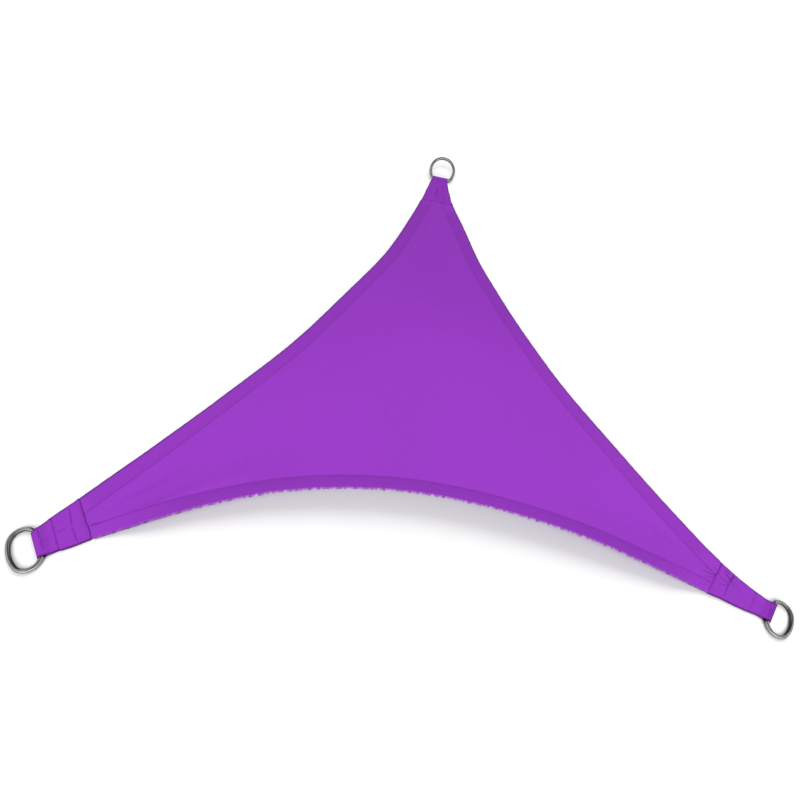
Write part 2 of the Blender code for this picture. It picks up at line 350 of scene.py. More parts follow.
def edgeLift(edge, t, inside):  # the cloth's edge curls up a little between strap and arch
    near = []
    for end, name in zip((t, 1 - t), edge["corners"]):
        strapEnd = corners[name]["strap"] * mm / edge["length"]
        near.append(smooth((end - strapEnd * 0.9) / 0.08) * smooth((0.5 - end) / 0.3))
    return edge["lift"] * max(near) * smooth(1 - max(0.0, inside) / surface["curlReach"])


def tuckedIn(corner, inward, sideways):  # how far the cloth is drawn in to stay under its strap
    trims = corner["trim"]
    column = 1 if sideways > 0 else 2
    trim = float(np.interp(inward / mm, [row[0] for row in trims], [row[column] for row in trims]))
    return max(0.0, 0.8 - trim) * mm * max(-1.0, min(1.0, sideways / 0.03))


def hemDetail(edge, seed, run, inside):  # relief, shade, fraying and raggedness within a hem
    share = max(0.0, inside) / edge["hem"]
    straps = [corners[name]["strap"] * mm for name in edge["corners"]]
    apart = min(run - straps[0], edge["length"] - run - straps[1])
    shaded = smooth(apart / edge["shadeFrom"]) * smooth((edge["hem"] - inside) / 0.0015)
    shade = 1 - (1 - edge["hemShade"]) * (0.75 + 0.25 * share) * shaded
    worn = 0.3 + 0.7 * smooth(apart / surface["wornFrom"])
    torn = 0.5 + 0.35 * ripple(run, 0.023, seed + 2) + 0.35 * ripple(run, 0.011, seed + 4)
    fray = worn * edge["frayed"] * torn * max(0.0, 1 - inside / surface["fringe"])
    puff, length = surface["hemPuff"]
    relief = puff * math.sin(math.pi * share) * (1 + 0.8 * ripple(run, length, seed))
    rise, length = surface["rimWave"]
    relief += rise * (1 - share) * ripple(run, length, seed + 3)
    wave = ripple(run, 0.017, seed + 5) * (0.6 + 0.4 * ripple(run, 0.15, seed))
    wave += 0.4 * ripple(run, 0.09, seed)
    return relief, shade, fray, edge["ragged"] * worn * (1 - share) ** 2 * wave


def clothPoint(spot):  # a spot of the cloth as seen from above: its place, and its marks
    height = groundHeight(spot) + fanHeight(spot)
    relief, hemSide, rim, dark, shade, fray = 0.0, 1.0, 1.0, 0.0, 1.0, 0.0
    push, tuck = Vector((0.0, 0.0)), Vector((0.0, 0.0))
    for seed, edge in enumerate(edges.values(), 1):
        t, inside = fromEdge(edge, spot)
        run = t * edge["length"]
        side = inside - edge["hem"]
        hemSide = min(hemSide, side)
        rim = min(rim, inside + edge["rimFade"])
        lift = edgeLift(edge, t, inside)
        height += lift
        push -= edge["inward"] * lift * surface["curlLean"]
        if side > 0.25:
            continue
        depth, width = surface["groove"]
        relief -= depth * math.exp(-((side / width) ** 2))
        if inside < edge["hem"]:
            rise, hemShade, torn, ragged = hemDetail(edge, seed, run, inside)
            relief += rise
            shade, fray = min(shade, hemShade), max(fray, torn)
            push -= edge["inward"] * ragged
        else:
            rise, length = surface["puckers"]
            fades = math.exp(-side / surface["puckersReach"]) * smooth(side / 0.01)
            relief += rise * fades * ripple(run, length, seed + 7)
    hidden = 1.0
    for name, corner in corners.items():
        inward, sideways = inCorner(corner, spot)
        if inward < 0.3:
            under = corner["strap"] * mm
            hidden *= smooth((inward - under + 0.004) / 0.012)
            held = smooth((under + 0.008 - inward) / 0.008)
            if held > 0.0:
                tuck -= corner["across"] * tuckedIn(corner, inward, sideways) * held
            depth, crease = creaseDepth(name, inward, sideways, "cloth")
            relief -= depth
            dark = max(dark, crease)
    x, y = spot
    rise, length, otherLength = surface["slack"]
    slack = ripple(x + 0.3 * y, length, 1.0) * ripple(y - 0.2 * x, otherLength, 2.0)
    relief += rise * slack * smooth(groundHeight(spot) / sail["crown"] * 4)
    spot = spot + push * hidden + tuck  # under a strap the cloth stays plain
    place = Vector((spot.x, spot.y, sail["topHeight"] + height + relief * hidden))
    return place, hemSide, rim, dark, shade, fray


def edgesAt(name):  # a corner's two edges with their hems, each followed from 0 there to 0.5
    found = []
    for edge in edges.values():
        if edge["corners"][0] == name:
            found.append((lambda t, edge=edge: edgeSpot(edge, t), edge["hem"]))
        elif edge["corners"][1] == name:
            found.append((lambda t, edge=edge: edgeSpot(edge, 1 - t), edge["hem"]))
    return sorted(found, key=lambda pair: inCorner(corners[name], pair[0](0.0))[1], reverse=True)


def gridPoints(bm, rows, columns):  # a flat grid, and each of its points with its row and column
    made = bmesh.ops.create_grid(bm, x_segments=rows, y_segments=columns, size=0.5)
    for vert in made["verts"]:
        yield vert, round((vert.co.x + 0.5) * rows), round((vert.co.y + 0.5) * columns)


def finishMesh(name, bm, material):
    mesh = bpy.data.meshes.new(name)
    bm.normal_update()
    bm.to_mesh(mesh)
    bm.free()
    mesh.shade_smooth()
    mesh.materials.append(material)
    piece = bpy.data.objects.new(name, mesh)
    bpy.context.scene.collection.objects.link(piece)
    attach(piece, "root")
    return piece


def addWeaveMap(bm, flat):  # a UV map in metres, so the weave keeps its size
    layer = bm.loops.layers.uv.new("weave")
    for face in bm.faces:
        for loop in face.loops:
            loop[layer].uv = flat[loop.vert]


def addThickness(piece, thickness, group=None, thin=1.0, offset=0.0):
    wall = piece.modifiers.new("cloth thickness", "SOLIDIFY")
    wall.thickness = thickness
    wall.offset = offset
    if group:
        wall.vertex_group = group
        wall.thickness_vertex_group = thin


# Plain colours of the finishes, and what the torn yarns add.
colours = {
    "cloth": (0.242, 0.0355, 0.426),
    "strap": (0.253, 0.0360, 0.446),
    "fray": (0.78, 0.66, 0.80),
    "thread": (0.143, 0.0137, 0.286),
    "steel": (0.22, 0.218, 0.215),
    "floor": (0.80, 0.80, 0.80),
}

# How coarse the weave is, how deep the finishes' small forms are, and how rough they are.
finish = {
    "weavePitch": 0.0013,  # from one yarn to the next
    "weaveDepth": 0.00018,
    "wrinkleDepth": 0.0012,
    "clothRough": (0.88, 0.72),  # between the yarns, and on them
    "threadRough": (0.6, 0.75),
    "steelRough": (0.07, 0.15),
    "scratchDepth": 0.00012,
}


def newGroup(name, inputs, outputs):
    group = bpy.data.node_groups.new(name, "ShaderNodeTree")
    for socketName, kind, value in inputs:
        socket = group.interface.new_socket(name=socketName, in_out="INPUT", socket_type=kind)
        if value is not None:
            socket.default_value = value
    for socketName, kind in outputs:
        group.interface.new_socket(name=socketName, in_out="OUTPUT", socket_type=kind)
    nodes = group.nodes
    return group, nodes.new("NodeGroupInput"), nodes.new("NodeGroupOutput")


def mathNode(tree, operation, *values):
    node = tree.nodes.new("ShaderNodeMath")
    node.operation = operation
    for socket, value in zip(node.inputs, values):
        if isinstance(value, (int, float)):
            socket.default_value = value
        else:
            tree.links.new(value, socket)
    return node.outputs[0]


def rangeNode(tree, value, low, high, to=(0.0, 1.0)):
    node = tree.nodes.new("ShaderNodeMapRange")
    node.interpolation_type = "SMOOTHSTEP"
    tree.links.new(value, node.inputs["Value"])
    for name, number in zip(("From Min", "From Max", "To Min", "To Max"), (low, high, *to)):
        node.inputs[name].default_value = number
    return node.outputs["Result"]


def noiseNode(tree, vector, scale, detail=3.0):
    node = tree.nodes.new("ShaderNodeTexNoise")
    node.inputs["Scale"].default_value = scale
    node.inputs["Detail"].default_value = detail
    tree.links.new(vector, node.inputs["Vector"])
    return node.outputs["Fac"]


def plainWeave():  # yarns over and under each other; Vector is in metres
    group, given, made = newGroup(
        "plainWeave",
        (("Vector", "NodeSocketVector", None), ("Pitch", "NodeSocketFloat", finish["weavePitch"])),
        (("Height", "NodeSocketFloat"), ("Tone", "NodeSocketFloat")),
    )
    split = group.nodes.new("ShaderNodeSeparateXYZ")
    group.links.new(given.outputs["Vector"], split.inputs[0])
    turns = [mathNode(group, "DIVIDE", split.outputs[axis], given.outputs["Pitch"]) for axis in (0, 1)]
    waves = [mathNode(group, "SINE", mathNode(group, "MULTIPLY", turn, math.pi)) for turn in turns]
    rounds = [mathNode(group, "ABSOLUTE", wave) for wave in waves]
    over = mathNode(group, "MULTIPLY", waves[0], waves[1])
    warp = rangeNode(group, over, -0.15, 0.15)
    mix = group.nodes.new("ShaderNodeMix")
    group.links.new(warp, mix.inputs["Factor"])
    group.links.new(rounds[0], mix.inputs["A"])
    group.links.new(rounds[1], mix.inputs["B"])
    group.links.new(mix.outputs["Result"], made.inputs["Height"])
    # painted shade: the yarns look darker where the weave lies low between them
    tone = rangeNode(group, mix.outputs["Result"], 0.0, 0.7, (0.86, 1.03))
    group.links.new(tone, made.inputs["Tone"])
    return group


def softTone():  # slow changes of shade over the cloth, and a faint cloudiness
    group, given, made = newGroup(
        "softTone",
        (("Vector", "NodeSocketVector", None), ("Amount", "NodeSocketFloat", 0.05)),
        (("Tone", "NodeSocketFloat"),),
    )
    wide = mathNode(group, "SUBTRACT", noiseNode(group, given.outputs["Vector"], 2.2, 1.0), 0.5)
    near = mathNode(group, "SUBTRACT", noiseNode(group, given.outputs["Vector"], 38.0, 3.0), 0.5)
    both = mathNode(group, "ADD", wide, mathNode(group, "MULTIPLY", near, 0.45))
    scaled = mathNode(group, "MULTIPLY", both, given.outputs["Amount"])
    group.links.new(mathNode(group, "ADD", scaled, 1.0), made.inputs["Tone"])
    return group


def newMaterial(name):
    material = bpy.data.materials.new(name)
    material.use_nodes = True
    return material, material.node_tree, material.node_tree.nodes["Principled BSDF"]


def useGroup(tree, group, **links):
    node = tree.nodes.new("ShaderNodeGroup")
    node.node_tree = group
    for name, value in links.items():
        if isinstance(value, (int, float)):
            node.inputs[name].default_value = value
        else:
            tree.links.new(value, node.inputs[name])
    return node


def attribute(tree, name):
    node = tree.nodes.new("ShaderNodeAttribute")
    node.attribute_name = name
    return node.outputs["Fac"]


def weaveMap(tree):
    node = tree.nodes.new("ShaderNodeUVMap")
    node.uv_map = "weave"
    return node.outputs["UV"]


def tint(tree, colour, tones):  # a plain colour times several tones
    total = tones[0]
    for tone in tones[1:]:
        total = mathNode(tree, "MULTIPLY", total, tone)
    node = tree.nodes.new("ShaderNodeVectorMath")
    node.operation = "SCALE"
    node.inputs[0].default_value = colour
    tree.links.new(total, node.inputs["Scale"])
    return node.outputs["Vector"]


def bumpNode(tree, height, distance, strength, normal=None):
    node = tree.nodes.new("ShaderNodeBump")
    node.inputs["Distance"].default_value = distance
    node.inputs["Strength"].default_value = strength
    tree.links.new(height, node.inputs["Height"])
    if normal:
        tree.links.new(normal, node.inputs["Normal"])
    return node.outputs["Normal"]


def clothMaterial(name, colour, marks, crumpled):
    material, tree, shader = newMaterial(name)
    flat = weaveMap(tree)
    weave = useGroup(tree, weaveGroup, Vector=flat, Pitch=finish["weavePitch"])
    tone = useGroup(tree, toneGroup, Vector=flat, Amount=0.08 + 0.14 * crumpled)
    tones = [weave.outputs["Tone"], tone.outputs["Tone"], *marks(tree)]
    frayed = tree.nodes.new("ShaderNodeVectorMath")
    frayed.operation = "ADD"
    tree.links.new(tint(tree, colour, tones), frayed.inputs[0])
    tree.links.new(tint(tree, colours["fray"], [attribute(tree, "fray")]), frayed.inputs[1])
    tree.links.new(frayed.outputs[0], shader.inputs["Base Color"])
    wrinkles = noiseNode(tree, flat, 55.0, 2.0)
    normal = bumpNode(tree, wrinkles, finish["wrinkleDepth"], crumpled)
    normal = bumpNode(tree, weave.outputs["Height"], finish["weaveDepth"], 0.5, normal)
    tree.links.new(normal, shader.inputs["Normal"])
    rough = rangeNode(tree, weave.outputs["Height"], 0, 1, finish["clothRough"])
    tree.links.new(rough, shader.inputs["Roughness"])
    shader.inputs["Specular IOR Level"].default_value = 0.06
    shader.inputs["Sheen Weight"].default_value = 0.012
    shader.inputs["Sheen Roughness"].default_value = 0.5
    return material


# painted shade along the hem's seam, on the folded rim and in the creases; shade is the hem's darker
# tone
def sailMarks(tree):  # the hem's shade, its seam, the folded rim and the creases
    side, rim, dark, shade = (attribute(tree, name) for name in ("hemSide", "rim", "dark", "shade"))
    seam = rangeNode(tree, mathNode(tree, "ABSOLUTE", side), 0.0006, 0.0034, (0.82, 1.0))
    fold = rangeNode(tree, rim, 0.0012, 0.0062, (0.44, 1.0))
    crease = rangeNode(tree, dark, 0.0, 1.0, (1.0, 0.66))
    split = tree.nodes.new("ShaderNodeSeparateXYZ")
    tree.links.new(weaveMap(tree), split.inputs[0])
    # painted light: the cloth is made paler towards the front and darker towards the back, standing in
    # for the light falling more on its front
    paintedFrontLight = rangeNode(tree, split.outputs[1], -0.65, 0.60, (1.07, 0.89))  # paler towards the front
    return shade, seam, fold, crease, paintedFrontLight


def strapMarks(tree):
    # painted shade along the strap's sides and end, in its creases, rows and loop, and over the whole
    # back strap
    rim, dark, shade = (attribute(tree, name) for name in ("rim", "dark", "shade"))
    fold = rangeNode(tree, rim, 0.0008, 0.0048, (0.46, 1.0))
    crease = rangeNode(tree, dark, 0.0, 1.0, (1.0, 0.50))
    return fold, crease, shade


def threadMaterial():
    material, tree, shader = newMaterial("sewing thread")
    place = tree.nodes.new("ShaderNodeTexCoord").outputs["Object"]
    twist = noiseNode(tree, place, 1800.0, 1.0)
    tone = rangeNode(tree, twist, 0.3, 0.7, (0.8, 1.15))
    tree.links.new(tint(tree, colours["thread"], [tone]), shader.inputs["Base Color"])
    tree.links.new(bumpNode(tree, twist, 0.0001, 0.5), shader.inputs["Normal"])
    tree.links.new(rangeNode(tree, twist, 0.3, 0.7, finish["threadRough"]), shader.inputs["Roughness"])
    return material


def steelMaterial():  # painted shade: the steel is darker on the inner side of a ring, standing in for dark reflections there, and a little lighter elsewhere
    material, tree, shader = newMaterial("polished steel")
    place = tree.nodes.new("ShaderNodeTexCoord").outputs["Object"]
    cloud = noiseNode(tree, place, 45.0, 4.0)
    scratch = noiseNode(tree, place, 420.0, 5.0)
    tone = rangeNode(tree, cloud, 0.3, 0.7, (0.75, 1.15))
    paintedInnerShade = rangeNode(tree, attribute(tree, "inside"), 0.1, 0.9, (1.1, 0.24))
    tree.links.new(tint(tree, colours["steel"], [tone, paintedInnerShade]), shader.inputs["Base Color"])
    blur = rangeNode(tree, cloud, 0.3, 0.7, finish["steelRough"])
    rough = mathNode(tree, "ADD", blur, mathNode(tree, "MULTIPLY", scratch, 0.08))
    tree.links.new(rough, shader.inputs["Roughness"])
    tree.links.new(bumpNode(tree, scratch, finish["scratchDepth"], 0.35), shader.inputs["Normal"])
    shader.inputs["Metallic"].default_value = 1.0
    return material


def clothStart(corner, follow):  # where along an edge the cloth begins, inside the strap
    near, far = 0.0, 0.2
    for _ in range(40):
        t = (near + far) / 2
        if inCorner(corner, follow(t))[0] < sail["startsIn"]:
            near = t
        else:
            far = t
    return near


def hemSpots(follow, t, opposite, share, side, hem):  # across a hem, from the rim inwards
    spot = follow(t)
    across = opposite - spot
    tangent = (follow(t + 0.01) - follow(t - 0.01)).normalized()
    square = Vector((-tangent.y, tangent.x)) * side
    inward = across.normalized().lerp(square, smooth(share / 0.12)).normalized()
    hem = min(hem, 0.36 * across.length)
    return [spot + inward * hem * column for column in sail["hemColumns"]]


def armSpots(name):  # rows of spots from one corner's strap to the middle, from hem to hem
    corner = corners[name]
    (left, leftHem), (right, rightHem) = edgesAt(name)
    leftStart, rightStart = clothStart(corner, left), clothStart(corner, right)
    hems = []
    for row in range(sail["rows"] + 1):
        share = row / sail["rows"]
        leftT = leftStart + (0.5 - leftStart) * share
        rightT = rightStart + (0.5 - rightStart) * share
        hems.append((
            hemSpots(left, leftT, right(rightT), share, 1, leftHem),
            hemSpots(right, rightT, left(leftT), share, -1, rightHem),
        ))
    toMiddle = middle - (hems[-1][0][-1] + hems[-1][1][-1]) / 2
    spots = []
    for row, (leftSide, rightSide) in enumerate(hems):
        bend = toMiddle * (row / sail["rows"]) ** 2
        inner = []
        for column in range(1, sail["innerColumns"]):
            share = column / sail["innerColumns"]
            inner.append(leftSide[-1].lerp(rightSide[-1], share) + bend * (1 - abs(2 * share - 1)))
        spots.append(leftSide + inner + rightSide[::-1])
    return spots


def makeCloth(material):
    bm = bmesh.new()
    marks = [bm.verts.layers.float.new(name) for name in ("hemSide", "rim", "dark", "shade", "fray")]
    hemGroup = bm.verts.layers.deform.verify()
    flat = {}
    columns = 2 * (len(sail["hemColumns"]) - 1) + sail["innerColumns"]
    for name in corners:
        spots = armSpots(name)
        for vert, row, column in gridPoints(bm, sail["rows"], columns):
            vert.co, *values = clothPoint(spots[row][column])
            for layer, value in zip(marks, values):
                vert[layer] = value
            vert[hemGroup][0] = 1.0 if values[0] < 0.0005 else 0.0
    bmesh.ops.remove_doubles(bm, verts=bm.verts[:], dist=0.00002)
    addWeaveMap(bm, {vert: (vert.co.x, vert.co.y) for vert in bm.verts})
    cloth = finishMesh("sailCloth", bm, material)
    cloth.vertex_groups.new(name="hem")
    addThickness(cloth, sail["hemThickness"], "hem", sail["clothThickness"] / sail["hemThickness"], -1.0)
    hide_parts("sail")
    print("cloth made:", len(cloth.data.polygons), "faces on its upper side")
    return cloth


# The corner straps, each one strip of cloth folded round the bar of its ring.
strap = {
    "thickness": 0.0012,
    "loopRadius": 0.0074,  # outside of the fold round the ring's bar
    "closesAt": 0.034,  # in from the strap end, behind the bar
    "gap": 0.00015,  # between the cloth and the strap's upper layer
    "step": 0.00125,  # length of its fine faces, on the upper layer
    "lowerRows": 24,
    "loopRows": 16,
    "columns": 44,
    "sideSpots": 80,  # how finely its sides follow the edges
    "rowWidth": 0.0019,  # of the groove along a row of stitches
    "rowDepth": 0.0005,
    "rowWander": 0.0011,
    "puff": 0.00045,  # how far it swells between its rows
    "ragged": 0.0004,  # how far its sides wander
    "endWander": 0.0012,
}


def rowMarks(name, inward, sideways):  # how near a spot is to a row of stitches, 0 to 1
    nearest = 0.0
    for (u0, v0), (u1, v1), _, _, dark in corners[name]["rows"]:
        low, high = sorted((v0, v1))
        share = (sideways / mm - v0) / (v1 - v0)
        line = (u0 + (u1 - u0) * share) * mm + strap["rowWander"] * ripple(sideways, 0.023, u0)
        beyond = max(low * mm - sideways, sideways - high * mm, 0.0)
        away = math.hypot(inward - line, beyond)
        uneven = 0.7 + 0.3 * ripple(sideways, 0.019, v0)
        nearest = max(nearest, dark * math.exp(-((away / strap["rowWidth"]) ** 2)) * uneven)
    return nearest


def upperLayer(name, inward, sideways):  # the upper layer's height at its middle, and how dark
    corner = corners[name]
    lies = sail["topHeight"] + strap["gap"] + strap["thickness"] / 2
    loopTop = 2 * strap["loopRadius"] - strap["thickness"] / 2
    drop = smooth((inward - strap["loopRadius"]) / (strap["closesAt"] - strap["loopRadius"]))
    height = loopTop + (lies - loopTop) * drop
    plyEnd, plyRise = corner["ply"]
    height += plyRise * mm * smooth((plyEnd * mm - inward) / 0.0016) * drop
    row = rowMarks(name, inward, sideways)
    depth, dark = creaseDepth(name, inward, sideways, "strap")
    fromEnd = corner["strap"] * mm - inward
    settle = smooth(fromEnd / 0.010) * smooth((inward - strap["closesAt"]) / 0.01)
    uneven = ripple(inward + 0.4 * sideways, 0.034, 2.0) * ripple(sideways, 0.027, 3.0)
    height += strap["puff"] * settle * (1 + 0.7 * uneven)
    height -= strap["rowDepth"] * row * drop + min(depth, 0.0010 * drop)
    # painted shade at the end of the second ply and on the loop round the bar, besides the painted shade
    # of rows and creases
    plyShade = min(0.6, plyRise) * math.exp(-(((plyEnd * mm - inward) / 0.0018) ** 2))
    loopShade = corner["loopShade"] * smooth((0.015 - inward) / 0.003)
    loopShade *= 0.8 + 0.25 * ripple(sideways, 0.021, 1.0)
    return height, max(dark, row, plyShade, loopShade)


def strapPath(corner):  # (inward, height, layer) from under the sail, round the bar and back on top
    end, radius, half = corner["strap"] * mm, strap["loopRadius"], strap["thickness"] / 2
    path = [(inward, half, "lower") for inward in np.linspace(end, radius, strap["lowerRows"])[:-1]]
    for i in range(strap["loopRows"] + 1):
        angle = math.pi * i / strap["loopRows"]
        inward = radius - (radius - half) * math.sin(angle)
        path.append((inward, radius - (radius - half) * math.cos(angle), "loop"))
    count = round((end - radius) / strap["step"])
    path += [(inward, 0.0, "upper") for inward in np.linspace(radius, end, count)[1:]]
    return path


def strapReach(name):  # the strap's two sides at a distance in from its end
    corner = corners[name]
    lines = []
    for follow, _ in edgesAt(name):
        spots = [inCorner(corner, follow(t)) for t in np.linspace(0.0, 0.25, strap["sideSpots"])]
        lines.append(([spot[0] for spot in spots], [spot[1] for spot in spots]))
    trimAt = [row[0] * mm for row in corner["trim"]]

    def reach(inward):
        sides = []
        for k, (inwards, sideways) in enumerate(lines):
            sign = (1, -1)[k]
            extra = float(np.interp(inward, trimAt, [row[1 + k] for row in corner["trim"]])) * mm
            sides.append(float(np.interp(inward, inwards, sideways)) + sign * extra)
        return sides

    return reach


def makeStrap(name, material):
    corner = corners[name]
    path, reach = strapPath(corner), strapReach(name)
    lengths = [0.0]  # along the strip, for the weave
    for before, after in zip(path, path[1:]):
        rise = after[1] - before[1] if after[2] == "loop" else 0.0
        lengths.append(lengths[-1] + max(0.0004, math.hypot(after[0] - before[0], rise)))
    bm = bmesh.new()
    rimLayer, darkLayer, shadeLayer = [
        bm.verts.layers.float.new(mark) for mark in ("rim", "dark", "shade")
    ]
    flat = {}
    for vert, row, column in gridPoints(bm, len(path) - 1, strap["columns"]):
        inward, height, layer = path[row]
        fromEnd = corner["strap"] * mm - inward if layer == "upper" else 1.0
        first, second = reach(inward)
        share = column / strap["columns"]
        sideways = first * (1 - share) + second * share
        if column in (0, strap["columns"]):
            sideways += math.copysign(strap["ragged"] * ripple(inward, 0.011, 1.0 + column), sideways)
        # painted shade on the loop round the bar
        dark = corner["loopShade"] if layer == "loop" else 0.0
        if layer == "upper":
            height, dark = upperLayer(name, inward, sideways)
            wander = strap["endWander"] * ripple(sideways, 0.037, corner["strap"])
            inward += wander * smooth(1 - fromEnd / 0.014)
        spot = cornerSpot(corner, inward, sideways)
        vert.co = (spot.x, spot.y, height + groundHeight(spot))
        # rim and shade carry painted shade along the strap's sides and end, and over a whole strap
        endFade = corner["endFade"][0] * (1 - share) + corner["endFade"][1] * share
        vert[rimLayer] = min(abs(first - sideways), abs(second - sideways), fromEnd + endFade * mm)
        vert[darkLayer] = dark
        vert[shadeLayer] = corner["shade"]
        flat[vert] = (sideways, lengths[row])
    addWeaveMap(bm, flat)
    piece = finishMesh("strap" + name.capitalize(), bm, material)
    addThickness(piece, strap["thickness"])
    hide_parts("corner_" + name)
    return piece


# The rings. The bow of each is made of arcs that follow each other from one end of its straight
# bar to the other: radius, turn and steps of each arc.
ring = {
    "wire": 0.0055,  # radius of the bar
    "barHalf": 0.0328,
    "flat": ((0.007, 33, 8), (0.0295, 127, 28), (None, 40, 16), (0.0295, 127, 28), (0.007, 33, 8)),
    "round": ((0.007, 58, 12), (0.062, 32, 12), (None, 180, 40), (0.062, 32, 12), (0.007, 58, 12)),
    "segments": 28,
}


def makeRing(name, material):
    corner = corners[name]
    bm = bmesh.new()
    made = bmesh.ops.create_circle(bm, segments=ring["segments"], radius=ring["wire"])
    upright = Matrix.Rotation(math.pi / 2, 3, "Y")
    bmesh.ops.rotate(bm, verts=made["verts"], cent=(0, 0, 0), matrix=upright)
    bmesh.ops.translate(bm, verts=made["verts"], vec=(-ring["barHalf"], 0, 0))
    bar = bmesh.ops.extrude_edge_only(bm, edges=bm.edges[:])["geom"]
    farEnd = [part for part in bar if isinstance(part, bmesh.types.BMVert)]
    bmesh.ops.translate(bm, verts=farEnd, vec=(2 * ring["barHalf"], 0, 0))
    farEdges = [part for part in bar if isinstance(part, bmesh.types.BMEdge)]
    last = farEnd + [part for part in farEdges if set(part.verts) <= set(farEnd)]
    tip, heading = Vector((ring["barHalf"], 0.0, 0.0)), 0.0
    for radius, turn, steps in ring[corner["ring"]["bow"]]:
        if radius is None:  # the bow closes the ring on its middle line
            radius = tip.x / math.sin(math.radians(turn / 2))
        centre = tip + radius * Vector((-math.sin(heading), math.cos(heading), 0.0))
        angle = math.radians(turn)
        last = bmesh.ops.spin(
            bm, geom=last, cent=centre, axis=(0, 0, 1), angle=angle, steps=steps, use_duplicate=False
        )["geom_last"]
        heading += angle
        tip = centre + radius * Vector((math.sin(heading), -math.cos(heading), 0.0))
    bmesh.ops.remove_doubles(bm, verts=bm.verts[:], dist=0.00005)
    bmesh.ops.recalc_face_normals(bm, faces=bm.faces[:])
    bm.normal_update()
    # how much the wire faces the ring's middle, where the steel is painted darker as painted shade and
    # reflection
    inside = bm.verts.layers.float.new("inside")
    depths = [vert.co.y for vert in bm.verts]
    eye = Vector((0.0, (min(depths) + max(depths)) / 2, 0.0))
    for vert in bm.verts:
        vert[inside] = max(0.0, vert.normal.dot((eye - vert.co).normalized()))
    barSpot = cornerSpot(corner, strap["loopRadius"], corner["ring"]["slide"] * mm)
    turned = Matrix((
        (-corner["across"].x, corner["out"].x, 0.0),
        (-corner["across"].y, corner["out"].y, 0.0),
        (0.0, 0.0, 1.0),
    )).to_4x4()
    lift = Matrix.Rotation(math.radians(corner["ring"]["lift"]), 4, "X")
    place = Matrix.Translation((barSpot.x, barSpot.y, strap["loopRadius"])) @ turned @ lift
    bmesh.ops.transform(bm, matrix=place, verts=bm.verts[:])
    piece = finishMesh("ring" + name.capitalize(), bm, material)
    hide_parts("ring_" + name)
    return piece


# The sewing thread. Each stitch is a small oval bead, pulled a little into the cloth.
thread = {
    "width": 0.0009,
    "hemStitch": 0.0034,
    "hemPitch": 0.0048,
    "sink": 0.25,  # share of its thickness that is pulled into the cloth
    "seamSpots": 4001,  # how finely a seam is followed
    "runStitches": 40,  # sewn in one run
}


def stitchPlace(place, ahead, up, length):  # turns and stretches one plain stitch to where it goes
    ahead = ahead.normalized()
    side = up.cross(ahead).normalized()
    up = ahead.cross(side)
    turned = Matrix((side, up, ahead)).transposed().to_4x4()
    wide = thread["width"]
    scaled = Matrix.Diagonal((wide, wide * 0.8, length, 1.0))
    lowered = place - up * wide * 0.8 * (thread["sink"] - 0.5)
    return Matrix.Translation(lowered) @ turned @ scaled


def sewRow(places):  # a row of stitches, sewn in short runs that are then joined
    row = bmesh.new()
    for start in range(0, len(places), thread["runStitches"]):
        bm = bmesh.new()
        for place in places[start:start + thread["runStitches"]]:
            bmesh.ops.create_uvsphere(bm, u_segments=6, v_segments=4, radius=0.5, matrix=place)
        run = bpy.data.meshes.new("run")
        bm.to_mesh(run)
        bm.free()
        row.from_mesh(run)
        bpy.data.meshes.remove(run)
    return row


def hiddenByStrap(spot, margin):
    return any(inCorner(corner, spot)[0] < corner["strap"] * mm + margin for corner in corners.values())


def sewnHere(edge, spot):  # clear of the straps and of the other two hems
    others = [other for other in edges.values() if other is not edge]
    apart = all(fromEdge(other, spot)[1] > other["hem"] - 0.001 for other in others)
    return apart and not hiddenByStrap(spot, 0.002)


def makeHemStitches(material):
    places = []
    for edge in edges.values():
        seam = [edgeSpot(edge, t, edge["hem"]) for t in np.linspace(0.0, 1.0, thread["seamSpots"])]
        run, due = 0.0, 0.0
        for before, spot in zip(seam, seam[1:]):
            run += (spot - before).length
            if run < due:
                continue
            due = run + thread["hemPitch"]
            if sewnHere(edge, spot):
                place = clothPoint(spot)[0]
                ahead = clothPoint(spot + (spot - before).normalized() * 0.002)[0] - place
                places.append(stitchPlace(place, ahead, Vector((0, 0, 1)), thread["hemStitch"]))
    piece = finishMesh("hemStitches", sewRow(places), material)
    print("hem stitches made:", len(places))
    return piece


def makeStrapStitches(material):
    places = []
    for name, corner in corners.items():
        for start, end, length, pitch, _ in corner["rows"]:
            start, end = Vector(start) * mm, Vector(end) * mm
            count = int((end - start).length / (pitch * mm))
            for i in range(count + 1):
                inward, sideways = start.lerp(end, (i + 0.5) / (count + 1))
                height, _ = upperLayer(name, inward, sideways)
                spot = cornerSpot(corner, inward, sideways)
                place = Vector((spot.x, spot.y, height + strap["thickness"] / 2 + groundHeight(spot)))
                ahead = cornerSpot(corner, end.x, end.y) - cornerSpot(corner, start.x, start.y)
                places.append(stitchPlace(place, ahead.to_3d(), Vector((0, 0, 1)), length * mm))
    return finishMesh("strapStitches", sewRow(places), material)


# The pale floor, the soft light, and the walls that only the steel mirrors.
studio = {
    "floorSize": 30.0,
    "horizon": 0.04,  # how bright the surroundings are: low down, high up behind and in front
    "skyBack": 0.26,
    "skyFront": 0.40,
    "sideWalls": 1.05,  # how bright the walls are that only the steel mirrors, left and right
    "frontWall": 2.5,
    # two wide soft lamps: from where, as degrees round from straight behind the sail and above the
    # floor, then power and softness
    "lamps": {"back": ((15.0, 54.0), 1.7, 44.0), "front": ((192.6, 54.0), 2.16, 38.0)},
}

# The camera, at the photograph's angle.
view = {
    "place": (-0.3020, -1.1219, 1.3188),
    "looksAt": (-0.1155, -0.2905, 0.0),
    "roll": -18.33,
    "lens": 23.4,
}


